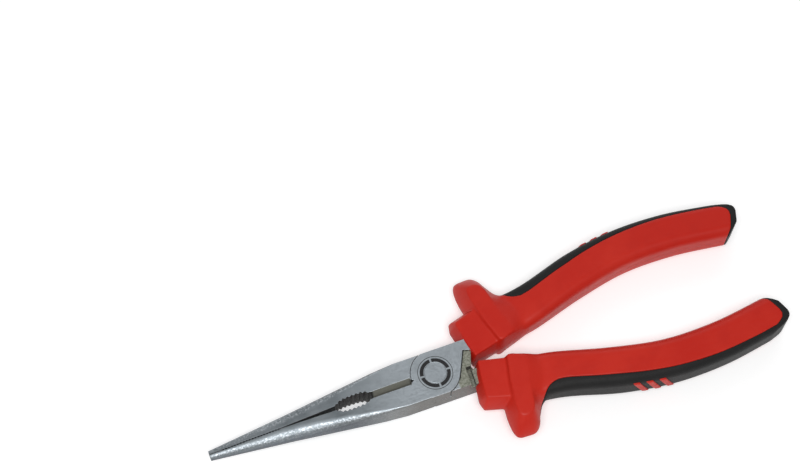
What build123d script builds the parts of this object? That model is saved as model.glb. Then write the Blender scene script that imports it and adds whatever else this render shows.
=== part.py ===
"""Snipe-nose side-cutting pliers: two crossed steel levers on one rivet, with two-shot moulded grips.

The jaws point along -X and the handles along +X, and +Z leaves the front face of the joint. The origin is
on the pivot axis, at the joint's ground rear face. The tool is modelled closed.
"""

import os

from build123d import *

# Joint
joint_thickness = 9.5
joint_half_width = 7.9
disc_radius = 8.2
seam_gap = 0.15
lap_gap = 0.06
edge_break = 0.35

# Neck and the pad beside the disc, with the groove and step behind the pad
seam_angle = 63.0
pad_width = 2.4
pad_top = 4.4
pad_top_slope = 0.8
pad_recess = 0.3
neck_inner = 2.6
neck_end = 19.0
neck_step = 1.5
groove_width = 1.7
groove_depth = 3.4

# Rivet
rivet_radius = 3.0
rivet_head_radius = 3.7
rivet_head_height = 1.6
rivet_running_gap = 0.03

# Jaws: distance from the pivot, half width of the closed pair, thickness, and the rounding's width and height
tip_distance = 78.2
tip_half_width = 1.6
tip_thickness = 3.0
jaw_stations = (
    (tip_distance, tip_half_width, tip_thickness, 1.35, 1.3),
    (50.0, 4.6, 6.3, 3.9, 2.5),
    (34.0, 6.3, 7.9, 3.0, 2.2),
    (20.0, 7.5, 9.2, 1.2, 1.0),
    (12.0, joint_half_width, joint_thickness, edge_break, edge_break),
    (3.0, joint_half_width, joint_thickness, edge_break, edge_break),
)
parting_gap = 0.06

# Pipe grip, serrations and cutter, measured from the pivot towards the tip
pipe_near = 21.8
pipe_far = 35.2
pipe_depth = 2.5
pipe_teeth = 9
tooth_depth = 0.55
wedge_far = 54.0
wedge_depth = 0.7
serration_near = 54.5
serration_pitch = 1.0
serration_depth = 0.3
serration_count = 20
cutter_near = 8.6
cutter_bevel = 1.2
relief_radius = 0.75

# Tang: distance from the pivot, height of its centre line and its half width
tang_stations = (
    (16.0, 5.25, 2.6),
    (26.0, 8.6, 2.8),
    (40.0, 12.4, 2.8),
    (58.0, 17.2, 2.8),
    (78.0, 21.0, 2.6),
    (106.0, 20.0, 2.2),
)
tang_thickness = 5.0

# Handles: distance from the pivot, height of the centre line and half width
handle_stations = (
    (24.0, 10.9, 8.2),
    (40.0, 13.3, 7.4),
    (58.0, 18.4, 7.35),
    (76.0, 21.6, 6.95),
    (94.0, 21.7, 6.8),
    (110.0, 19.7, 6.6),
    (126.0, 16.9, 6.35),
)
handle_thickness = 12.2
handle_rounding = 3.4
handle_end = 120.3
handle_end_height = 21.0
handle_end_angle = 23.0
handle_end_rounding = 1.5

# Collar and finger guard: outlines at mid thickness, from which both faces taper in
collar_thickness = 10.8
collar_outline = (
    (12.9, -1.0),
    (10.4, 13.2),
    (11.2, 16.4),
    (27.0, 21.0),
    (27.0, -1.0),
)
collar_clearance = 0.4
guard_thickness = 13.6
guard_outline = (
    (22.3, -1.0),
    (18.2, 15.0),
    (17.0, 25.6),
    (19.4, 28.8),
    (24.2, 28.8),
    (28.0, 24.6),
    (31.0, 18.5),
    (33.0, 8.0),
    (34.0, -1.0),
)
moulding_taper = 22.0
inner_side_near = (14.4, 0.7)
inner_side_far = (36.0, 3.9)
grip_rounding = 0.8

# Soft strip: distance from the pivot and height of its edge on the grip
strip_edge = (
    (29.0, 22.0),
    (33.0, 17.9),
    (39.5, 16.3),
    (54.0, 20.8),
    (66.0, 23.9),
    (78.0, 25.8),
    (92.0, 26.3),
    (106.0, 25.1),
    (118.0, 22.8),
)
rim_depth = 2.2
rib_places = (64.5, 69.0, 73.5)
rib_width = 2.2
rib_height = 8.0
rib_lean = 25.0
rib_proud = 0.4

mid_height = joint_thickness / 2
mid_plane = Plane.XY.offset(mid_height)
front_layer = mid_plane.offset(lap_gap / 2)
rear_layer = mid_plane.offset(-lap_gap / 2)
layer_thickness = (joint_thickness - lap_gap) / 2
long_axis = Axis((0, 0, mid_height), (1, 0, 0))
beyond = 100.0

# The neck's seam leaves the disc as a tangent and stops at the pad's upper end.
seam_direction = Vector(1, 0).rotate(Axis.Z, seam_angle)
seam_normal = Vector(1, 0).rotate(Axis.Z, seam_angle - 90)
seam_start = seam_normal * disc_radius
seam_end = seam_start + seam_direction * ((pad_top - seam_start.Y) / seam_direction.Y)
pad_start = seam_start + seam_normal * seam_gap
pad_end = seam_end + seam_normal * seam_gap
pad_shoulder = (pad_end.X + pad_width, pad_top - pad_top_slope - seam_gap)
pad_foot = (seam_start.X + pad_width, -joint_half_width)

neck_outline = (
    (0, joint_half_width),
    (neck_end, joint_half_width),
    (neck_end, neck_inner),
    (pad_shoulder[0] + seam_gap, neck_inner),
    (pad_shoulder[0] + seam_gap, pad_top - pad_top_slope),
    (seam_end.X, seam_end.Y),
    (seam_start.X, seam_start.Y),
    (0, 0),
)
pad_outline = (
    (0, joint_half_width),
    (0, 0),
    (pad_start.X, -pad_start.Y),
    (pad_end.X, seam_gap - pad_top),
    (pad_shoulder[0], -pad_shoulder[1]),
    (pad_foot[0], joint_half_width),
)
neck_root_outline = (
    (pad_foot[0] - 0.5, joint_half_width),
    (neck_end, joint_half_width),
    (neck_end, neck_inner),
    (pad_foot[0], neck_inner),
)


def zigzag(start, end, rise, count, depth):
    """V teeth from one end of a shallow arch to the other, cut above the arch's own line."""
    points = []
    for step in range(2 * count + 1):
        share = step / (2 * count)
        arch = rise * (1 - (2 * share - 1) ** 4)
        points.append((start + (end - start) * share, arch + (depth if step % 2 else 0.0)))
    return points


# Each lever is one forging: this is the front one before its rivet hole is made.
with BuildPart() as lever_blank:
    for distance, half_width, thickness, round_width, round_height in jaw_stations:
        half = thickness / 2
        low = -half_width
        with BuildSketch(Plane((-distance, 0, mid_height), x_dir=(0, 1, 0), z_dir=(1, 0, 0))):
            with BuildLine():
                Line((-parting_gap / 2, -half), (-parting_gap / 2, half))
                Line((-parting_gap / 2, half), (low + round_width, half))
                front_centre = (low + round_width, half - round_height)
                EllipticalCenterArc(front_centre, round_width, round_height, 90, arc_size=90)
                Line((low, half - round_height), (low, round_height - half))
                rear_centre = (low + round_width, round_height - half)
                EllipticalCenterArc(rear_centre, round_width, round_height, 180, arc_size=90)
                Line((low + round_width, -half), (-parting_gap / 2, -half))
            make_face()
    loft(ruled=True)
    # The rear half of the joint is cut away for the other lever's disc.
    with BuildSketch(front_layer):
        Circle(disc_radius + seam_gap)
    extrude(amount=-joint_thickness, mode=Mode.SUBTRACT)
    with BuildSketch(front_layer):
        Circle(disc_radius)
        Rectangle(beyond, 2 * joint_half_width, mode=Mode.INTERSECT)
        Polygon(*neck_outline, align=None)
        with Locations((-joint_half_width / 2, -joint_half_width)):
            Rectangle(joint_half_width / 2, joint_half_width, align=(Align.MIN, Align.MIN))
    extrude(amount=layer_thickness)
    with BuildSketch(rear_layer):
        Polygon(*pad_outline, align=None)
        Circle(disc_radius + seam_gap, mode=Mode.SUBTRACT)
    extrude(amount=pad_recess - layer_thickness)
    with BuildSketch(rear_layer):
        Polygon(*neck_root_outline, align=None)
        Circle(disc_radius + seam_gap, mode=Mode.SUBTRACT)
    extrude(amount=neck_step - layer_thickness)
    # Pad, neck root and neck are one piece where they lie over each other.
    with BuildSketch(rear_layer):
        Polygon(*pad_outline, align=None)
        Polygon(*neck_root_outline, align=None)
        Polygon(*neck_outline, align=None, mode=Mode.INTERSECT)
        Circle(disc_radius + seam_gap, mode=Mode.SUBTRACT)
    extrude(amount=lap_gap)
    # A groove parts the pad from the neck behind it.
    with BuildSketch(Plane.XY):
        with BuildLine():
            Polyline(
                (pad_foot[0], joint_half_width + 1),
                (pad_foot[0] + groove_width, joint_half_width + 1),
                (pad_foot[0] + groove_width + 0.6, neck_inner - 1),
                (pad_foot[0] + 0.4, neck_inner - 1),
                close=True,
            )
        make_face()
    extrude(amount=groove_depth, mode=Mode.SUBTRACT)
    # The tang that the grip is moulded on.
    with BuildSketch(mid_plane):
        with BuildLine():
            upper = Spline(*[(x, y + half) for x, y, half in tang_stations])
            lower = Spline(*[(x, y - half) for x, y, half in tang_stations])
            Line(upper @ 0, lower @ 0)
            Line(upper @ 1, lower @ 1)
        make_face()
    extrude(amount=tang_thickness / 2, both=True)
    # Cutting edge at mid thickness, between two bevels.
    with BuildSketch(Plane((-pipe_near - 1, 0, mid_height), x_dir=(0, 1, 0), z_dir=(1, 0, 0))):
        Polygon((0, 0), (0, mid_height), (-cutter_bevel, mid_height), align=None)
        Polygon((0, 0), (0, -mid_height), (-cutter_bevel, -mid_height), align=None)
    extrude(amount=pipe_near + 1 - cutter_near, mode=Mode.SUBTRACT)
    # Pipe grip, the wedge that runs out of it along the closed faces, then the fine serrations of the nose
    # and the small relief at the cutter's root.
    with BuildSketch(Plane.XY):
        arch = zigzag(-pipe_far, -pipe_near, tooth_depth - pipe_depth, pipe_teeth, -tooth_depth)
        Polygon((-pipe_near, 1), (-pipe_far, 1), *arch, align=None)
        wedge_root = -pipe_far + tooth_depth
        Polygon((-wedge_far, 0), (wedge_root, 0), (wedge_root, -wedge_depth), align=None)
        for number in range(serration_count):
            place = -serration_near - number * serration_pitch
            Polygon(
                (place - serration_pitch / 2, 0),
                (place, -serration_depth),
                (place + serration_pitch / 2, 0),
                align=None,
            )
        with Locations((-disc_radius, 0)):
            RegularPolygon(relief_radius, 3)
    extrude(amount=joint_thickness, mode=Mode.SUBTRACT)

with BuildPart() as pivot_rivet:
    with BuildSketch(Plane.XZ):
        Polygon(
            (0, 0),
            (rivet_head_radius, 0),
            (rivet_radius, rivet_head_height),
            (rivet_radius, joint_thickness - rivet_head_height),
            (rivet_head_radius, joint_thickness),
            (0, joint_thickness),
            align=None,
        )
    revolve(axis=Axis.Z)

with BuildPart() as running_hole:
    with BuildSketch(Plane.XZ):
        Polygon(
            (0, 0),
            (rivet_head_radius + rivet_running_gap, 0),
            (rivet_radius + rivet_running_gap, rivet_head_height),
            (rivet_radius + rivet_running_gap, joint_thickness - rivet_head_height),
            (rivet_head_radius + rivet_running_gap, joint_thickness),
            (0, joint_thickness),
            align=None,
        )
    revolve(axis=Axis.Z)

with BuildPart() as front_lever:
    add(lever_blank.part)
    add(running_hole.part, mode=Mode.SUBTRACT)

with BuildPart() as rear_lever:
    add(lever_blank.part.rotate(long_axis, 180))
    add(pivot_rivet.part, mode=Mode.SUBTRACT)

# The handle's outer form, before it is shared between the hard grip and the soft strip.
with BuildPart() as handle_form:
    for distance, height, half_width in handle_stations:
        with BuildSketch(Plane((distance, height, mid_height), x_dir=(0, 1, 0), z_dir=(1, 0, 0))):
            RectangleRounded(2 * half_width, handle_thickness, handle_rounding)
    loft()
    end_plane = Plane(
        (handle_end, handle_end_height, mid_height),
        x_dir=(0, 0, 1),
        z_dir=Vector(1, 0).rotate(Axis.Z, -handle_end_angle),
    )
    split(bisect_by=end_plane, keep=Keep.BOTTOM)
    end_face = faces().sort_by(Axis.X)[-1]
    fillet(end_face.edges(), handle_end_rounding)

# Everything on the inner side of this line is cut off the collar and the guard.
with BuildPart() as inner_side:
    with BuildSketch(mid_plane):
        slope = (inner_side_far[1] - inner_side_near[1]) / (inner_side_far[0] - inner_side_near[0])
        Polygon(
            (0, inner_side_near[1] - slope * inner_side_near[0]),
            (beyond, inner_side_near[1] + slope * (beyond - inner_side_near[0])),
            (beyond, -beyond),
            (0, -beyond),
            align=None,
        )
    extrude(amount=guard_thickness, both=True)

with BuildPart() as collar_form:
    with BuildSketch(mid_plane):
        Polygon(*collar_outline, align=None)
    extrude(amount=collar_thickness / 2, taper=moulding_taper)
    mirror(about=mid_plane)
    add(inner_side.part, mode=Mode.SUBTRACT)
    # Room for the other lever's pad, and for the joint itself.
    with BuildSketch(mid_plane):
        with Locations((pad_shoulder[0] + collar_clearance, pad_shoulder[1] + 2 * collar_clearance)):
            Rectangle(joint_thickness, joint_thickness, align=(Align.MAX, Align.MAX))
    extrude(amount=collar_thickness, both=True, mode=Mode.SUBTRACT)
    with BuildSketch(Plane.XY):
        with Locations((pad_shoulder[0] + collar_clearance, joint_half_width)):
            Rectangle(joint_thickness, joint_thickness, align=(Align.MAX, Align.MAX))
    extrude(amount=joint_thickness, mode=Mode.SUBTRACT)

with BuildPart() as guard_form:
    with BuildSketch(mid_plane):
        Polygon(*guard_outline, align=None)
    extrude(amount=guard_thickness / 2, taper=moulding_taper)
    mirror(about=mid_plane)
    add(inner_side.part, mode=Mode.SUBTRACT)
    fillet(guard_form.faces().group_by(Axis.Z)[0].edges(), grip_rounding)
    fillet(guard_form.faces().group_by(Axis.Z)[-1].edges(), grip_rounding)

# Everything outside this edge, and round the handle's end, is the soft material.
with BuildPart() as strip_zone:
    with BuildSketch(mid_plane):
        with BuildLine():
            edge = Spline(*strip_edge)
            Polyline(edge @ 1, (beyond * 1.3, strip_edge[-1][1]), (beyond * 1.3, 40), (29, 40), edge @ 0)
        make_face()
        rim_start = Vector(-rim_depth, 0).rotate(Axis.Z, -handle_end_angle)
        rim_start = rim_start + Vector(handle_end, handle_end_height)
        rim_run = Vector(0, beyond / 4).rotate(Axis.Z, -handle_end_angle)
        Polygon(
            (rim_start.X - rim_run.X, rim_start.Y - rim_run.Y),
            (rim_start.X + rim_run.X, rim_start.Y + rim_run.Y),
            (beyond * 1.3, 40),
            (beyond * 1.3, -5),
            align=None,
        )
    extrude(amount=handle_thickness, both=True)

with BuildPart() as rib_form:
    with BuildSketch(Plane((0, 15, mid_height), x_dir=(1, 0, 0), z_dir=(0, 1, 0))):
        with Locations(*[(place, 0) for place in rib_places]):
            Rectangle(rib_width, rib_height, rotation=rib_lean)
    extrude(amount=20)
    add(handle_form.part.moved(Location((0, rib_proud, 0))), mode=Mode.INTERSECT)
    add(strip_zone.part, mode=Mode.INTERSECT)

with BuildPart() as front_grip:
    add(handle_form.part)
    add(strip_zone.part, mode=Mode.SUBTRACT)
    add(collar_form.part)
    add(guard_form.part)
    add(rib_form.part)
    add(front_lever.part, mode=Mode.SUBTRACT)

with BuildPart() as front_overmould:
    add(handle_form.part)
    add(strip_zone.part, mode=Mode.INTERSECT)
    add(guard_form.part, mode=Mode.SUBTRACT)
    add(collar_form.part, mode=Mode.SUBTRACT)
    add(rib_form.part, mode=Mode.SUBTRACT)

with BuildPart() as rear_grip:
    add(front_grip.part.rotate(long_axis, 180))

with BuildPart() as rear_overmould:
    add(front_overmould.part.rotate(long_axis, 180))

pieces = {
    "front_lever": front_lever,
    "rear_lever": rear_lever,
    "pivot_rivet": pivot_rivet,
    "front_grip": front_grip,
    "rear_grip": rear_grip,
    "front_overmould": front_overmould,
    "rear_overmould": rear_overmould,
}
os.makedirs("parts", exist_ok=True)
for name, piece in pieces.items():
    piece.part.label = name
    export_step(piece.part, f"parts/{name}.step")
    print(name, "solids", len(piece.part.solids()), "volume", round(piece.part.volume, 1))
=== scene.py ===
import math

import bmesh
import bpy
from mathutils import Matrix, Vector


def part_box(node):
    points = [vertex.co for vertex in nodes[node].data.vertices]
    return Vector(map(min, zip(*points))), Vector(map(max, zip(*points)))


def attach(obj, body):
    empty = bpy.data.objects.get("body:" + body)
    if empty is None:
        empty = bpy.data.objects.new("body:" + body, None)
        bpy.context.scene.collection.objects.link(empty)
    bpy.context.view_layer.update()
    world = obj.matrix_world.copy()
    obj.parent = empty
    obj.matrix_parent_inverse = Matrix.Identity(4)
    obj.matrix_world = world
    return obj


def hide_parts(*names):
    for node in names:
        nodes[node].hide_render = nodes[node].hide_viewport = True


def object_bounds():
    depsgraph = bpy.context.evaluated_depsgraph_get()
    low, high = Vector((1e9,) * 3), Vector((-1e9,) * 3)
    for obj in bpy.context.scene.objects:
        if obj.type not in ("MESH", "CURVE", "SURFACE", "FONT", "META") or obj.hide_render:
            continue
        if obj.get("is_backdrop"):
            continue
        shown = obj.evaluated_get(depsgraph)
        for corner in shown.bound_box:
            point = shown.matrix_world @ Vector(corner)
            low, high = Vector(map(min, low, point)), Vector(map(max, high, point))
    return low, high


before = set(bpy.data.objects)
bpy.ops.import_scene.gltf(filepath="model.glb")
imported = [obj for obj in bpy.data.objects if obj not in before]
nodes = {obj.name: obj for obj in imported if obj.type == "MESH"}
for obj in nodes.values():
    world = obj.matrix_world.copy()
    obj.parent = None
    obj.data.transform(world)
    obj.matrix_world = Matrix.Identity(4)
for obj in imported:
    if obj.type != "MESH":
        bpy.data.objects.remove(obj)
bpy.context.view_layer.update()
mm = 0.001

jointLow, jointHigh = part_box("pivot_rivet")
midHeight = (jointLow.z + jointHigh.z) / 2 / mm
faceHalf = (jointHigh.z - jointLow.z) / 2
print("frame loaded, joint mid height", round(midHeight, 2), "mm")


# outlines and stations below are in mm: x from the pivot to the handle's end, y outwards, z from mid height

def smoothValue(stations, x):
    # value through the stations at x, with the tangents of its neighbours
    last = len(stations) - 1
    index = 0
    while index < last - 1 and x > stations[index + 1][0]:
        index += 1
    x0, x1 = stations[index][0], stations[index + 1][0]
    t = min(1.0, max(0.0, (x - x0) / (x1 - x0)))

    def slope(i, column):
        a, b = max(0, i - 1), min(last, i + 1)
        return (stations[b][column] - stations[a][column]) / (stations[b][0] - stations[a][0])

    values = []
    for column in range(1, len(stations[0])):
        p0, p1 = stations[index][column], stations[index + 1][column]
        m0, m1 = slope(index, column) * (x1 - x0), slope(index + 1, column) * (x1 - x0)
        values.append(
            p0 * (2 * t**3 - 3 * t**2 + 1) + m0 * (t**3 - 2 * t**2 + t)
            + p1 * (3 * t**2 - 2 * t**3) + m1 * (t**3 - t**2)
        )
    return values


def rounded(outline, steps):
    # a closed outline through its points with no flats between them
    points = [Vector(point) for point in outline]
    line = []
    for i, here in enumerate(points):
        before, after, later = points[i - 1], points[(i + 1) % len(points)], points[(i + 2) % len(points)]
        for step in range(steps):
            t = step / steps
            line.append(
                0.5 * (2 * here + (after - before) * t + (2 * before - 5 * here + 4 * after - later) * t**2
                       + (3 * here - before - 3 * after + later) * t**3)
            )
    return line


def meshObject(name, build):
    mesh = bpy.data.meshes.new(name)
    form = bmesh.new()
    build(form)
    bmesh.ops.recalc_face_normals(form, faces=form.faces)
    form.to_mesh(mesh)
    form.free()
    piece = bpy.data.objects.new(name, mesh)
    bpy.context.scene.collection.objects.link(piece)
    return piece


def loftRings(form, rings):
    # closed rings of equal length, skinned and capped
    made = [[form.verts.new(Vector(point) * mm) for point in ring] for ring in rings]
    count = len(rings[0])
    for before, after in zip(made, made[1:]):
        for i in range(count):
            j = (i + 1) % count
            form.faces.new((before[i], before[j], after[j], after[i]))
    form.faces.new(list(reversed(made[0])))
    form.faces.new(made[-1])


def prism(name, outline, low, high):
    def build(form):
        loftRings(form, [[(x, y, low) for x, y in outline], [(x, y, high) for x, y in outline]])
    return meshObject(name, build)


def addModifier(piece, kind, **settings):
    modifier = piece.modifiers.new(kind.title(), kind)
    for key, value in settings.items():
        setattr(modifier, key, value)


def settle(piece):
    # the modifiers' result becomes the mesh
    graph = bpy.context.evaluated_depsgraph_get()
    graph.update()
    mesh = bpy.data.meshes.new_from_object(piece.evaluated_get(graph), depsgraph=graph)
    old = piece.data
    piece.modifiers.clear()
    piece.data = mesh
    bpy.data.meshes.remove(old)
    return piece


def remeshed(piece, voxel, turns):
    addModifier(piece, "REMESH", mode="VOXEL", voxel_size=voxel * mm, use_smooth_shade=True)
    addModifier(piece, "SMOOTH", factor=0.5, iterations=turns)
    return settle(piece)


def cutWith(piece, tool, operation):
    addModifier(piece, "BOOLEAN", operation=operation, object=tool, solver="MANIFOLD")
    return settle(piece)


def swollen(piece, amount):
    # moves the skin along its normals, outwards for a positive amount
    addModifier(piece, "DISPLACE", strength=amount * mm, mid_level=0.0)
    return settle(piece)


def copied(piece, name):
    other = piece.copy()
    other.data = piece.data.copy()
    other.name = name
    bpy.context.scene.collection.objects.link(other)
    return other


def dropped(*pieces):
    for piece in pieces:
        mesh = piece.data
        bpy.data.objects.remove(piece)
        bpy.data.meshes.remove(mesh)


def joined(name, pieces):
    # one object from several, which are used up
    mesh = bpy.data.meshes.new(name)
    form = bmesh.new()
    for piece in pieces:
        form.from_mesh(piece.data)
    form.to_mesh(mesh)
    form.free()
    whole = bpy.data.objects.new(name, mesh)
    bpy.context.scene.collection.objects.link(whole)
    dropped(*pieces)
    return whole


handle = {
    # distance from the pivot, height of the centre line, half width, half thickness, edge radius
    "stations": (
        (24.0, 10.9, 8.2, 4.8, 2.4),
        (31.0, 11.7, 7.7, 4.8, 2.6),
        (40.0, 13.3, 7.4, 5.5, 3.0),
        (58.0, 18.4, 7.35, 6.1, 3.2),
        (76.0, 21.6, 6.95, 6.1, 3.2),
        (94.0, 21.7, 6.8, 6.1, 3.2),
        (110.0, 19.7, 6.6, 6.05, 3.1),
        (126.0, 16.9, 6.35, 6.0, 3.0),
    ),
    "crown": 0.05,       # how far the broad faces fall off at their sides, as a share
    "cornerSteps": 7,
    "step": 1.5,         # between sections
    # the cut at the handle's end
    "end": (
        (10.0, -5.0), (110.0, 9.4), (113.8, 12.3), (118.3, 16.0), (119.7, 19.8), (119.9, 21.0),
        (119.5, 22.2), (118.3, 23.4), (116.6, 24.3), (114.0, 25.2), (110.0, 26.8), (80.0, 40.0), (10.0, 40.0),
    ),
    "cutReach": 12.0,    # half height of the tools that cut the grip
}


def handleSection(halfWidth, halfHeight, radius):
    # rounded rectangle with crowned long faces, as (across, up) pairs
    points = []
    steps = handle["cornerSteps"]
    for turn, (sx, sy) in enumerate(((1, 1), (-1, 1), (-1, -1), (1, -1))):
        for step in range(steps + 1):
            angle = math.radians(90 * turn + 90 * step / steps)
            across = sx * (halfWidth - radius) + radius * math.cos(angle)
            up = sy * (halfHeight - radius) + radius * math.sin(angle)
            up *= 1 - handle["crown"] * (across / halfWidth) ** 2
            points.append((across, up))
    return points


def handleForm(form):
    first, last = handle["stations"][0][0], handle["stations"][-1][0]
    count = int((last - first) / handle["step"])
    rings = []
    for number in range(count + 1):
        x = first + (last - first) * number / count
        height, halfWidth, half, radius = smoothValue(handle["stations"], x)
        section = handleSection(halfWidth, half, radius)
        rings.append([(x, height + across, up) for across, up in section])
    loftRings(form, rings)


def makeHandle():
    loft = meshObject("handleLoft", handleForm)
    trim = prism("handleTrim", handle["end"], -handle["cutReach"], handle["cutReach"])
    cutWith(loft, trim, "INTERSECT")
    dropped(trim)
    return loft


# collar and guard: outline at mid height, and the smaller one of the top and bottom faces
collar = {
    "outline": ((13.9, 0.7), (12.1, 5.0), (10.5, 13.2), (11.2, 16.2), (27.0, 20.6), (27.0, 2.6)),
    "top": ((14.7, 0.9), (13.9, 5.0), (12.7, 13.4), (13.0, 14.3), (27.0, 18.6), (27.0, 4.0)),
    "half": 5.4,
    "draft": 1.5,        # 1 for straight sides, more for sides that round over near the faces
    "smooth": False,
}
guard = {
    "outline": (
        (23.2, 2.1), (21.0, 7.0), (19.2, 12.0), (17.7, 17.5), (17.0, 22.5), (17.2, 27.0), (18.4, 29.2),
        (21.2, 29.6), (24.2, 29.5), (26.3, 27.7), (28.2, 24.2), (31.4, 20.4), (40.0, 17.5), (43.0, 11.0),
        (38.0, 5.6), (29.0, 3.0),
    ),
    "top": (
        (24.5, 2.9), (23.4, 6.4), (22.3, 10.5), (21.4, 15.2), (20.7, 19.5), (20.4, 22.2), (20.9, 23.8),
        (22.2, 24.5), (23.8, 24.3), (25.3, 23.3), (26.3, 21.0), (26.9, 17.5), (27.7, 13.4), (28.7, 9.5),
        (29.9, 5.0), (27.4, 3.6),
    ),
    "half": 6.75,
    "draft": 1.5,
    "smooth": True,
}
drafted = {"levels": 8, "curveSteps": 4}


def draftedForm(shape):
    # from the mid-height outline in to the top and bottom outlines, on a rounded path
    outline, top, levels = shape["outline"], shape["top"], drafted["levels"]
    if shape["smooth"]:
        outline, top = (rounded(line, drafted["curveSteps"]) for line in (outline, top))

    def build(form):
        rings = []
        for level in range(-levels, levels + 1):
            up = shape["half"] * level / levels
            inward = (abs(level) / levels) ** shape["draft"]
            rings.append([
                (a[0] + (b[0] - a[0]) * inward, a[1] + (b[1] - a[1]) * inward, up)
                for a, b in zip(outline, top)
            ])
        loftRings(form, rings)
    return build


gripMesh = {
    "voxel": 0.3,
    "smoothTurns": 5,
    "edgeVoxel": 0.25,
    "edgeTurns": 2,
    "flank": (26.5, 29.5, 35.0, 40.0),   # the smoothing sets in, is full, fades and ends
    "flankTurns": 45,
}


def makeWhole():
    # handle, collar and guard run together into one skin
    parts = [
        makeHandle(),
        meshObject("collarBlock", draftedForm(collar)),
        meshObject("guardBlock", draftedForm(guard)),
    ]
    whole = remeshed(joined("gripWhole", parts), gripMesh["voxel"], gripMesh["smoothTurns"])
    # the hollow behind the guard runs out softly into the handle
    near, full, fade, far = gripMesh["flank"]
    flank = whole.vertex_groups.new(name="flank")
    for point in whole.data.vertices:
        x = point.co.x / mm
        weight = min((x - near) / (full - near), (far - x) / (far - fade), 1.0)
        if weight > 0:
            flank.add([point.index], weight, "REPLACE")
    addModifier(whole, "SMOOTH", factor=0.5, iterations=gripMesh["flankTurns"], vertex_group="flank")
    settle(whole)
    whole.vertex_groups.clear()
    print("grip form", len(whole.data.polygons), "faces")
    return whole


softStrip = {
    # the strip's edge on the grip, from the guard to the handle's end
    "edge": (
        (27.2, 25.4), (28.6, 22.6), (31.0, 19.6), (33.6, 17.2), (37.0, 16.2), (41.0, 16.9), (47.0, 18.8),
        (54.0, 20.9), (66.0, 24.0), (78.0, 25.9), (92.0, 26.3), (106.0, 25.0), (114.0, 23.7),
    ),
    "edgeSteps": 90,
    # and round the end
    "rim": (
        (115.4, 22.9), (116.7, 21.9), (117.3, 20.6), (117.1, 19.0), (115.9, 16.2),
        (114.9, 14.3), (113.6, 12.9), (112.2, 11.6), (110.6, 5.0),
    ),
    "outside": ((140.0, 5.0), (140.0, 40.0), (26.0, 40.0)),
    "sunk": 0.09,        # below the red moulding's skin
}


def stripZone():
    # everything outside the strip's edge
    edge, steps = softStrip["edge"], softStrip["edgeSteps"]
    first, last = edge[0][0], edge[-1][0]
    places = [first + (last - first) * i / steps for i in range(steps + 1)]
    line = [(x, smoothValue(edge, x)[0]) for x in places]
    line += [*softStrip["rim"], *softStrip["outside"]]
    return prism("stripZone", line, -handle["cutReach"], handle["cutReach"])


ribs = {
    "places": (63.2, 67.6, 72.0),
    "width": 2.3,
    "height": 7.6,
    "lean": 28.0,
    "proud": 0.3,
    "reach": (20.0, 34.0),   # the ribs' tools reach through the strip in y
}


def ribZone():
    shift = ribs["height"] / 2 * math.tan(math.radians(ribs["lean"]))
    top, side = ribs["height"] / 2, ribs["width"] / 2
    tools = []
    for place in ribs["places"]:
        outline = (
            (place - side - shift, -top), (place + side - shift, -top),
            (place + side + shift, top), (place - side + shift, top),
        )

        def build(form, outline=outline):
            loftRings(form, [[(x, y, z) for x, z in outline] for y in ribs["reach"]])
        tools.append(meshObject("ribTool", build))
    return joined("ribZone", tools)


def makeGrips():
    # the red moulding with its ribs, and the black strip that fills the rest
    whole, strip, rib = makeWhole(), stripZone(), ribZone()
    red = cutWith(copied(whole, "redPart"), strip, "DIFFERENCE")
    proud = cutWith(swollen(copied(whole, "ribPart"), ribs["proud"]), rib, "INTERSECT")
    soft = cutWith(swollen(copied(whole, "softPart"), -softStrip["sunk"]), strip, "INTERSECT")
    red = remeshed(joined("frontGrip", [red, proud]), gripMesh["edgeVoxel"], gripMesh["edgeTurns"])
    soft = remeshed(soft, gripMesh["edgeVoxel"], gripMesh["edgeTurns"])
    dropped(whole, strip, rib)
    print("hard grip", len(red.data.polygons), "faces, soft strip", len(soft.data.polygons), "faces")
    return red, soft


def placed(piece, name, turned, body, node, material):
    # the rear half is the front one turned over about the long axis
    half = copied(piece, name)
    half.data.name = name
    place = Matrix.Translation((0, 0, midHeight * mm))
    if turned:
        place = place @ Matrix.Rotation(math.pi, 4, "X")
    half.data.transform(place)
    half.data.materials.clear()
    half.data.materials.append(material)
    half.data.shade_smooth()
    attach(half, body)
    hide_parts(node)


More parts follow.
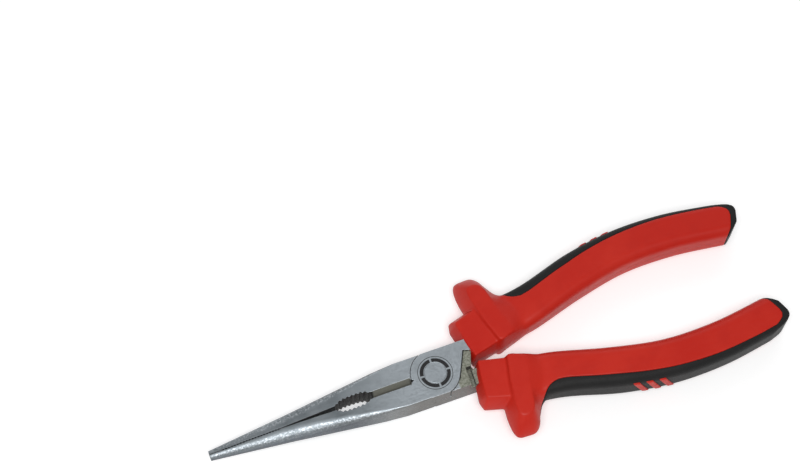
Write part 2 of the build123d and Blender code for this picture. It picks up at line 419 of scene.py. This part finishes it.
class Finish:
    # a material with a short way to add and link nodes
    def __init__(self, name):
        self.material = bpy.data.materials.new(name)
        self.material.use_nodes = True
        self.tree = self.material.node_tree
        self.shader = self.tree.nodes["Principled BSDF"]
        self.place = self.node("ShaderNodeTexCoord").outputs["Object"]

    def node(self, kind, **settings):
        made = self.tree.nodes.new(kind)
        for key, value in settings.items():
            setattr(made, key, value)
        return made

    def link(self, source, target):
        self.tree.links.new(source, target)

    def feed(self, socket, source):
        self.link(source, self.shader.inputs[socket])

    def fixed(self, **values):
        # values that are the same all over, such as Sheen_Weight=0.05
        for socket, value in values.items():
            self.shader.inputs[socket.replace("_", " ")].default_value = value

    def axes(self, source=None):
        made = self.node("ShaderNodeSeparateXYZ")
        self.link(source or self.place, made.inputs[0])
        return made.outputs

    def noise(self, scale, detail=3.0, rough=0.5, stretch=None, distortion=0.0):
        made = self.node("ShaderNodeTexNoise")
        source = self.place
        if stretch:
            scaled = self.node("ShaderNodeVectorMath", operation="MULTIPLY")
            self.link(self.place, scaled.inputs[0])
            scaled.inputs[1].default_value = stretch
            source = scaled.outputs[0]
        self.link(source, made.inputs["Vector"])
        made.inputs["Scale"].default_value = scale
        made.inputs["Detail"].default_value = detail
        made.inputs["Roughness"].default_value = rough
        made.inputs["Distortion"].default_value = distortion
        return made.outputs["Fac"]

    def calc(self, operation, *values):
        made = self.node("ShaderNodeMath", operation=operation)
        for socket, value in zip(made.inputs, values):
            if isinstance(value, (int, float)):
                socket.default_value = value
            else:
                self.link(value, socket)
        return made.outputs[0]

    def times(self, first, *others):
        for other in others:
            first = self.calc("MULTIPLY", first, other)
        return first

    def plus(self, first, *others):
        for other in others:
            first = self.calc("ADD", first, other)
        return first

    def most(self, first, *others):
        for other in others:
            first = self.calc("MAXIMUM", first, other)
        return first

    def ramp(self, source, low, high, fromValue=0.0, toValue=1.0):
        made = self.node("ShaderNodeMapRange", clamp=True)
        self.link(source, made.inputs["Value"])
        made.inputs["From Min"].default_value = low
        made.inputs["From Max"].default_value = high
        made.inputs["To Min"].default_value = fromValue
        made.inputs["To Max"].default_value = toValue
        return made.outputs["Result"]

    def span(self, source, ends, fromValue=0.0, toValue=1.0):
        # a ramp between two places given in mm
        return self.ramp(source, ends[0] * mm, ends[1] * mm, fromValue, toValue)

    def fromMid(self, z):
        return self.calc("ABSOLUTE", self.calc("SUBTRACT", z, midHeight * mm))

    def mix(self, share, first, second):
        made = self.node("ShaderNodeMix", data_type="RGBA")
        self.link(share, made.inputs[0])
        for socket, value in ((made.inputs[6], first), (made.inputs[7], second)):
            if isinstance(value, tuple):
                socket.default_value = (*value, 1.0)
            else:
                self.link(value, socket)
        return made.outputs[2]

    def bump(self, height, strength, distance, normal=None):
        made = self.node("ShaderNodeBump")
        made.inputs["Strength"].default_value = strength
        made.inputs["Distance"].default_value = distance
        self.link(height, made.inputs["Height"])
        if normal is not None:
            self.link(normal, made.inputs["Normal"])
        return made.outputs["Normal"]


redGrip = {
    "colour": (0.50, 0.0135, 0.0055),
    "patchy": (0.54, 0.020, 0.009),
    "deep": (0.44, 0.012, 0.006),
    "deepShare": 0.35,
    "trimmed": (0.28, 0.010, 0.006),
    "trimmedShare": 0.55,
    "roughness": (0.36, 0.52),
    # noise scales, in waves to the metre
    "cloudScale": 45.0,
    "deepScale": 160.0,
    "swellScale": 260.0,
    "trimScale": 700.0,
    "scuffStretch": (240.0, 900.0, 900.0),
    "grain": 5200.0,
    "grainDepth": 0.00002,
    "relief": 0.45,
    "lineWidth": 0.16,       # mm, half width of the mould's parting line
    # heights in grain depths
    "lineHeight": 36.0,
    "grainHeight": 0.5,
    "swellHeight": 2.2,
    "specular": 0.26,
}


def redFinish():
    f = Finish("mouldedRed")
    cloud = f.ramp(f.noise(redGrip["cloudScale"], 4.0, 0.55), 0.42, 0.66)
    tint = f.mix(cloud, redGrip["colour"], redGrip["patchy"])
    low = f.ramp(f.noise(redGrip["deepScale"], 3.0, 0.6), 0.5, 0.75)
    tint = f.mix(f.times(low, redGrip["deepShare"]), tint, redGrip["deep"])
    # the mould's parting line at mid height, rough where it was trimmed
    wide = redGrip["lineWidth"]
    onLine = f.span(f.fromMid(f.axes()[2]), (wide, wide * 0.4))
    flash = f.times(onLine, f.ramp(f.noise(redGrip["trimScale"], 3.0, 0.6), 0.3, 0.6, 0.35, 1.0))
    f.feed("Base Color", f.mix(f.times(flash, redGrip["trimmedShare"]), tint, redGrip["trimmed"]))
    scuff = f.noise(1.0, 6.0, 0.62, redGrip["scuffStretch"], 0.6)
    f.feed("Roughness", f.ramp(scuff, 0.3, 0.72, *redGrip["roughness"]))
    grain = f.noise(redGrip["grain"], 2.0, 0.5)
    swell = f.noise(redGrip["swellScale"], 2.0, 0.5)
    height = f.plus(f.times(grain, redGrip["grainHeight"]), f.times(swell, redGrip["swellHeight"]),
                    f.times(flash, redGrip["lineHeight"]))
    f.feed("Normal", f.bump(height, redGrip["relief"], redGrip["grainDepth"]))
    f.fixed(Specular_IOR_Level=redGrip["specular"])
    return f.material


softBlack = {
    "colour": (0.0070, 0.0070, 0.0070),
    "dusty": (0.0115, 0.0113, 0.0110),
    "roughness": (0.55, 0.72),
    "cloudScale": 70.0,
    "grain": 2600.0,
    "cells": 1560.0,
    "cellHeight": 0.7,
    "grainDepth": 0.00006,
    "relief": 0.5,
    "specular": 0.29,
    "sheen": 0.05,
    "sheenRoughness": 0.4,
}


def blackFinish():
    f = Finish("softBlack")
    cloud = f.ramp(f.noise(softBlack["cloudScale"], 5.0, 0.6), 0.45, 0.75)
    f.feed("Base Color", f.mix(cloud, softBlack["colour"], softBlack["dusty"]))
    fine = f.noise(softBlack["grain"], 3.0, 0.6)
    f.feed("Roughness", f.ramp(fine, 0.3, 0.7, *softBlack["roughness"]))
    cells = f.node("ShaderNodeTexVoronoi")
    f.link(f.place, cells.inputs["Vector"])
    cells.inputs["Scale"].default_value = softBlack["cells"]
    height = f.plus(f.times(cells.outputs["Distance"], softBlack["cellHeight"]), fine)
    f.feed("Normal", f.bump(height, softBlack["relief"], softBlack["grainDepth"]))
    f.fixed(
        Specular_IOR_Level=softBlack["specular"],
        Sheen_Weight=softBlack["sheen"],
        Sheen_Roughness=softBlack["sheenRoughness"],
    )
    return f.material


steel = {
    "ground": (0.20, 0.226, 0.244),
    "bright": (0.29, 0.322, 0.345),
    "joint": (0.50, 0.55, 0.59),
    # bright specks of the blasted skin, partly painted glint
    "speck": (0.62, 0.66, 0.70),
    # painted shade colour for the jaws' sides and underside
    "jawShade": (0.095, 0.107, 0.125),
    # painted shade colour for the pipe grip's teeth
    "pipeGripShade": (0.030, 0.026, 0.022),
    # painted highlight colour for the joint's outside edges
    "edge": (0.60, 0.63, 0.65),
    "cutter": (0.34, 0.34, 0.30),
    "wall": (0.165, 0.155, 0.14),
    "forged": (0.36, 0.37, 0.315),
    "scale": (0.20, 0.21, 0.165),
    "dark": (0.012, 0.012, 0.013),
    # how much of a colour comes through where its mask is full
    "lineShare": 0.35,
    "speckShare": 0.6,
    "wallShare": 0.85,
    "jawShadeShare": 0.85,
    "pipeGripShadeShare": 0.85,
    "gapShadeShare": 0.9,
    # noise scales, in waves to the metre
    "lineStretch": (160.0, 5200.0, 5200.0),
    "patchScale": 130.0,
    "edgeShineScale": 400.0,
    "glintScale": 1500.0,
    "pitScale": 1500.0,
    "grainScale": 3600.0,
    # roughness of the ground steel and what each finish adds to it
    "roughLines": (0.34, 0.48),
    "roughGrain": 0.06,
    "roughGlint": (0.09, -0.07),
    "roughForged": 0.28,
    "roughWall": 0.12,
    "roughBurnt": 0.25,
    # share of the metallic look left under each finish
    "metalForged": 0.55,
    "metalShadedAndBevel": 0.35,
    "metalBurnt": 0.2,
    # heights in relief depths, the last in metres
    "reliefLines": 0.5,
    "reliefGrain": 0.6,
    "reliefGlint": (0.3, 10.0),
    "reliefPits": 9.0,
    "relief": 0.6,
    "reliefDepth": 0.00003,
    # pairs in mm from where a finish sets in to where it is full; along the tool the jaws are negative
    "jointFrom": (-34.0, -10.0),
    "wallFrom": (-45.0, -8.0),
    "blastedFrom": (-10.0, -22.0),
    "jawShadeFrom": (-18.0, -30.0),
    "gripFar": (-35.7, -35.2),
    "gripNear": (-21.4, -21.9),
    "gripDeep": (3.0, 2.7),
    "cutterNear": (-8.3, -8.8),
    "cutterFar": (-21.8, -21.3),
    "cutterWide": (1.3, 1.2),
    "edgeWidth": 0.26,
    "edgeShineFrom": (4.5, 5.5),
    "edgeShineDeep": (0.6, 0.35),
    "panelFrom": (5.5, 6.2),
    "panelDeep": (0.084, 0.168),
    "nose": (-54.0, -35.0),         # the painted shade of the gap between the jaws widens over this length
    "noseWide": (0.12, 0.76),
    "noseEnd": (-34.6, -35.0),
}
ringMark = {
    "inner": 3.9,
    "outer": 5.15,
    "fine": 5.7,
    "fineWidth": 0.22,
    "soft": 0.05,
    "gap": (0.10, 0.16),            # of the sine, at the four breaks
    "deep": (0.1, 0.05),
}
seam = {
    "away": 8.2,                    # from the axis to the straight seam beside the panel
    "turn": 27.0,
    "start": (-0.05, 0.03),
    "end": (0.5, 0.25),
    "along": (6.6, 7.2),
    "top": (4.6, 4.3),
    "share": 0.85,
}


def burntRing(f, x, y, z, upward, grain):
    # burnt ring mark round the rivet, on the front face only
    radius = f.calc("POWER", f.plus(f.times(x, x), f.times(y, y)), 0.5)
    soft, fine, width = ringMark["soft"], ringMark["fine"], ringMark["fineWidth"]

    def between(inner, outer):
        return f.times(
            f.span(radius, (inner - soft, inner + soft)), f.span(radius, (outer + soft, outer - soft))
        )
    turns = f.times(f.calc("ARCTAN2", y, x), 2.0)
    gaps = f.ramp(f.calc("ABSOLUTE", f.calc("SINE", turns)), *ringMark["gap"])
    mark = f.most(f.times(between(ringMark["inner"], ringMark["outer"]), gaps), between(fine, fine + width))
    low, high = (jointHigh.z - deep * mm for deep in ringMark["deep"])
    mark = f.times(mark, f.ramp(upward, 0.9, 0.95), f.ramp(z, low, high))
    return f.times(mark, f.ramp(grain, 0.25, 0.45, 0.9, 1.0))


def seamDirt(f, x, y, z):
    # dirt in the straight seam between the disc and the panel, on both faces
    y = f.times(y, f.calc("SIGN", f.calc("SUBTRACT", z, midHeight * mm)))
    turn = math.radians(seam["turn"])
    away = f.calc("SUBTRACT", f.times(x, math.cos(turn)), f.times(y, math.sin(turn)))
    away = f.calc("SUBTRACT", away, seam["away"] * mm)
    dirt = f.times(f.span(away, seam["start"]), f.span(away, seam["end"]))
    return f.times(dirt, f.span(x, seam["along"]), f.span(y, seam["top"]), seam["share"])


def steelFinish(name, ring):
    f = Finish(name)
    x, y, z = f.axes()
    outward = f.calc("ABSOLUTE", y)
    geometry = f.node("ShaderNodeNewGeometry")
    facing = f.node(
        "ShaderNodeVectorTransform", vector_type="NORMAL", convert_from="WORLD", convert_to="OBJECT"
    )
    f.link(geometry.outputs["Normal"], facing.inputs[0])
    upward = f.axes(facing.outputs[0])[2]
    up = f.calc("ABSOLUTE", upward)
    flat = f.ramp(up, 0.75, 0.95)
    steep = f.calc("SUBTRACT", 1.0, flat)
    fromMid = f.fromMid(z)

    # long grinding lines and soft patches
    lines = f.noise(1.0, 4.0, 0.6, steel["lineStretch"])
    grain = f.noise(steel["grainScale"], 3.0, 0.6)
    patches = f.noise(steel["patchScale"], 4.0, 0.55)
    tone = f.mix(f.ramp(patches, 0.35, 0.7), steel["ground"], steel["bright"])
    tone = f.mix(f.times(f.ramp(lines, 0.35, 0.75), steel["lineShare"]), tone, steel["bright"])

    # the joint's faces are ground finer and shine more than the jaws
    fine = f.times(f.span(x, steel["jointFrom"]), f.ramp(patches, 0.3, 0.75, 0.75, 1.0))
    tone = f.mix(fine, tone, steel["joint"])

    # side walls of the joint keep a warm, unground skin that fades out along the jaws
    wall = f.times(steep, f.span(x, steel["wallFrom"]))
    tone = f.mix(f.times(wall, steel["wallShare"]), tone, steel["wall"])

    # the blasted skin on the round of the jaws has bright specks, kept mostly to upward faces as painted
    # glint
    glint = f.noise(steel["glintScale"], 4.0, 0.7)
    curved = f.times(f.ramp(up, 0.995, 0.95), f.span(x, steel["blastedFrom"]))
    curved = f.times(curved, f.ramp(up, 0.45, 0.80, 0.12, 1.0))
    tone = f.mix(f.times(curved, f.ramp(glint, 0.50, 0.60), steel["speckShare"]), tone, steel["speck"])
    # painted shade: the round of the jaws is painted darker towards its sides and underside
    jawShade = f.times(f.ramp(up, 0.62, 0.12), f.span(x, steel["jawShadeFrom"]))
    tone = f.mix(f.times(jawShade, steel["jawShadeShare"]), tone, steel["jawShade"])

    # painted shade: the pipe grip's teeth inside the hole are painted dark and less metallic
    teeth = f.times(f.span(x, steel["gripFar"]), f.span(x, steel["gripNear"]))
    teeth = f.times(teeth, f.ramp(up, 0.7, 0.4), f.span(outward, steel["gripDeep"]))
    tone = f.mix(f.times(teeth, steel["pipeGripShadeShare"]), tone, steel["pipeGripShade"])

    # painted highlight: bright lines painted along the outside edges of the joint, broken up by noise
    edges = f.node("ShaderNodeBevel", samples=6)
    edges.inputs["Radius"].default_value = steel["edgeWidth"] * mm
    turned = f.node("ShaderNodeVectorMath", operation="DOT_PRODUCT")
    f.link(edges.outputs[0], turned.inputs[0])
    f.link(geometry.outputs["Normal"], turned.inputs[1])
    edgeShine = f.times(f.ramp(turned.outputs["Value"], 0.99, 0.94), f.span(outward, steel["edgeShineFrom"]))
    low, high = (faceHalf - deep * mm for deep in steel["edgeShineDeep"])
    patchy = f.ramp(f.noise(steel["edgeShineScale"], 3.0, 0.6), 0.3, 0.55, 0.45, 1.0)
    tone = f.mix(f.times(edgeShine, patchy, f.ramp(fromMid, low, high)), tone, steel["edge"])

    # the cutting bevels are bright and fine ground
    bevel = f.times(f.span(outward, steel["cutterWide"]), f.span(x, steel["cutterNear"]))
    bevel = f.times(bevel, f.span(x, steel["cutterFar"]), steep)
    tone = f.mix(bevel, tone, steel["cutter"])

    # the sunk panel beside the joint and the neck behind it are as forged
    high, low = (faceHalf - deep * mm for deep in steel["panelDeep"])
    forged = f.times(f.ramp(fromMid, high, low), flat, f.span(x, steel["panelFrom"]))
    pits = f.noise(steel["pitScale"], 5.0, 0.7)
    tone = f.mix(forged, tone, f.mix(f.ramp(pits, 0.42, 0.62), steel["scale"], steel["forged"]))

    if ring:
        burnt = burntRing(f, x, y, z, upward, grain)
        tone = f.mix(burnt, tone, steel["dark"])
    tone = f.mix(seamDirt(f, x, y, z), tone, steel["dark"])

    # painted shade: the gap along the nose is painted dark, wider towards the pipe grip
    near, wide = (width * mm for width in steel["noseWide"])
    inGap = f.calc("LESS_THAN", outward, f.span(x, steel["nose"], near, wide))
    gapShade = f.times(inGap, f.span(x, steel["noseEnd"]))
    f.feed("Base Color", f.mix(f.times(gapShade, steel["gapShadeShare"]), tone, steel["dark"]))

    rough = f.plus(
        f.ramp(lines, 0.3, 0.7, *steel["roughLines"]),
        f.times(f.ramp(grain, 0.35, 0.65), steel["roughGrain"]),
        f.ramp(glint, 0.35, 0.65, *steel["roughGlint"]),
        f.times(forged, steel["roughForged"]),
        f.times(wall, steel["roughWall"]),
    )
    metal = f.times(
        f.ramp(forged, 0.0, 1.0, 1.0, steel["metalForged"]),
        f.ramp(f.most(teeth, bevel, gapShade), 0.0, 1.0, 1.0, steel["metalShadedAndBevel"]),
    )
    if ring:
        rough = f.plus(rough, f.times(burnt, steel["roughBurnt"]))
        metal = f.times(metal, f.ramp(burnt, 0.0, 1.0, 1.0, steel["metalBurnt"]))
    f.feed("Roughness", rough)
    f.feed("Metallic", metal)
    height = f.plus(
        f.times(lines, steel["reliefLines"]),
        f.times(grain, steel["reliefGrain"]),
        f.times(glint, f.ramp(up, 0.99, 0.88, *steel["reliefGlint"])),
        f.times(pits, forged, steel["reliefPits"]),
    )
    f.feed("Normal", f.bump(height, steel["relief"], steel["reliefDepth"], edges.outputs[0]))
    return f.material


redMaterial = redFinish()
blackMaterial = blackFinish()
leverMaterial = steelFinish("groundSteel", True)
rivetMaterial = steelFinish("rivetSteel", False)
print("finishes ready")

hardForm, softForm = makeGrips()
for side, turned in (("front", False), ("rear", True)):
    body, grip, strip = side + "_half", side + "_grip", side + "_overmould"
    placed(hardForm, side + "_grip_moulding", turned, body, grip, redMaterial)
    placed(softForm, side + "_soft_strip", turned, body, strip, blackMaterial)
dropped(hardForm, softForm)
steelPieces = {"front_lever": leverMaterial, "rear_lever": leverMaterial, "pivot_rivet": rivetMaterial}
for name, material in steelPieces.items():
    nodes[name].data.materials.clear()
    nodes[name].data.materials.append(material)
print("grips, levers and rivet finished")


studio = {
    "centre": 0.02,                 # metres, as are the aim and the light boxes
    "radius": 900.0,                # mm
    "rings": 18,
    "sides": 64,
    "drop": 0.03,                   # mm between the lowest point and the floor
    "floor": (0.78, 0.78, 0.78),
    "fleck": (0.7956, 0.7956, 0.7956),
    "fleckScale": 900.0,
    "floorGlow": 0.36,
    "floorRoughness": 0.8,
    "floorSpecular": 0.1,
    "white": (1.0, 1.0, 1.0, 1.0),
    "world": 0.32,
    "aim": (0.02, 0, 0),
    # name, place, size and power of each light box
    "boxes": (
        ("keyBox", (-0.14, -0.30, 0.75), (0.5, 0.32), 4.4),
        ("backBox", (0.25, 0.60, 0.50), (0.9, 0.35), 1.2),
    ),
}


def floorForm(form):
    # a disc whose rings get wider outwards
    rings, sides, centre = studio["rings"], studio["sides"], studio["centre"]
    hub = form.verts.new((centre, 0, 0))
    before = None
    for ring in range(1, rings + 1):
        radius = studio["radius"] * mm * (ring / rings) ** 1.5
        angles = [2 * math.pi * i / sides for i in range(sides)]
        verts = [form.verts.new((centre + radius * math.cos(a), radius * math.sin(a), 0)) for a in angles]
        for i in range(sides):
            j = (i + 1) % sides
            if before is None:
                form.faces.new((hub, verts[i], verts[j]))
            else:
                form.faces.new((before[i], verts[i], verts[j], before[j]))
        before = verts


def makeFloor(lowest):
    floor = meshObject("studioFloor", floorForm)
    floor.data.transform(Matrix.Translation((0, 0, lowest - studio["drop"] * mm)))
    f = Finish("paleFloor")
    paper = f.ramp(f.noise(studio["fleckScale"], 3.0, 0.6), 0.3, 0.7)
    f.feed("Base Color", f.mix(paper, studio["floor"], studio["fleck"]))
    f.fixed(
        Roughness=studio["floorRoughness"],
        Specular_IOR_Level=studio["floorSpecular"],
        Emission_Color=studio["white"],
        Emission_Strength=studio["floorGlow"],
    )
    floor.data.materials.append(f.material)
    floor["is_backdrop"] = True


def lightBox(name, place, size, power):
    light = bpy.data.lights.new(name, "AREA")
    light.shape = "RECTANGLE"
    light.size, light.size_y = size
    light.energy = power
    lamp = bpy.data.objects.new(name, light)
    lamp.location = place
    lamp.rotation_euler = (Vector(studio["aim"]) - Vector(place)).to_track_quat("-Z", "Y").to_euler()
    bpy.context.scene.collection.objects.link(lamp)


def makeWorld():
    world = bpy.data.worlds.new("studioWorld")
    world.use_nodes = True
    backdrop = world.node_tree.nodes["Background"]
    backdrop.inputs[0].default_value = studio["white"]
    backdrop.inputs[1].default_value = studio["world"]
    bpy.context.scene.world = world


cameraView = {
    "azimuth": -23.50,
    "elevation": 63.15,
    "roll": 2.97,
    "distance": 559.8,              # mm to the pivot's front face
    "frame": (800.0, 473.0),
    "focal": 1700.0,                # in the frame's units
    "pivotAt": (435.25, 372.7),     # where the pivot lies in that frame, from its top left
    "sensor": 36.0,
    "clip": (0.02, 10.0),
}


def makeCamera():
    turn, rise, roll = (math.radians(cameraView[key]) for key in ("azimuth", "elevation", "roll"))
    back = Vector((math.sin(turn) * math.cos(rise), -math.cos(turn) * math.cos(rise), math.sin(rise)))
    across = (-back).cross(Vector((0, 0, 1))).normalized()
    upward = across.cross(-back)
    right = across * math.cos(roll) + upward * math.sin(roll)
    top = upward * math.cos(roll) - across * math.sin(roll)
    distance = cameraView["distance"] * mm
    width, height = cameraView["frame"]
    sideways = (cameraView["pivotAt"][0] - width / 2) / cameraView["focal"] * distance
    downward = (cameraView["pivotAt"][1] - height / 2) / cameraView["focal"] * distance
    camera = bpy.data.cameras.new("mainCamera")
    camera.sensor_width = cameraView["sensor"]
    camera.lens = cameraView["focal"] * camera.sensor_width / width
    camera.clip_start, camera.clip_end = cameraView["clip"]
    holder = bpy.data.objects.new("mainCamera", camera)
    place = Vector((0, 0, jointHigh.z)) + back * distance - right * sideways + top * downward
    holder.matrix_world = Matrix.Translation(place) @ Matrix((right, top, back)).transposed().to_4x4()
    bpy.context.scene.collection.objects.link(holder)
    bpy.context.scene.camera = holder


makeWorld()
makeFloor(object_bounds()[0].z)
for box in studio["boxes"]:
    lightBox(*box)
makeCamera()
bpy.context.scene.view_settings.view_transform = "Standard"
print("floor, light and camera in place")
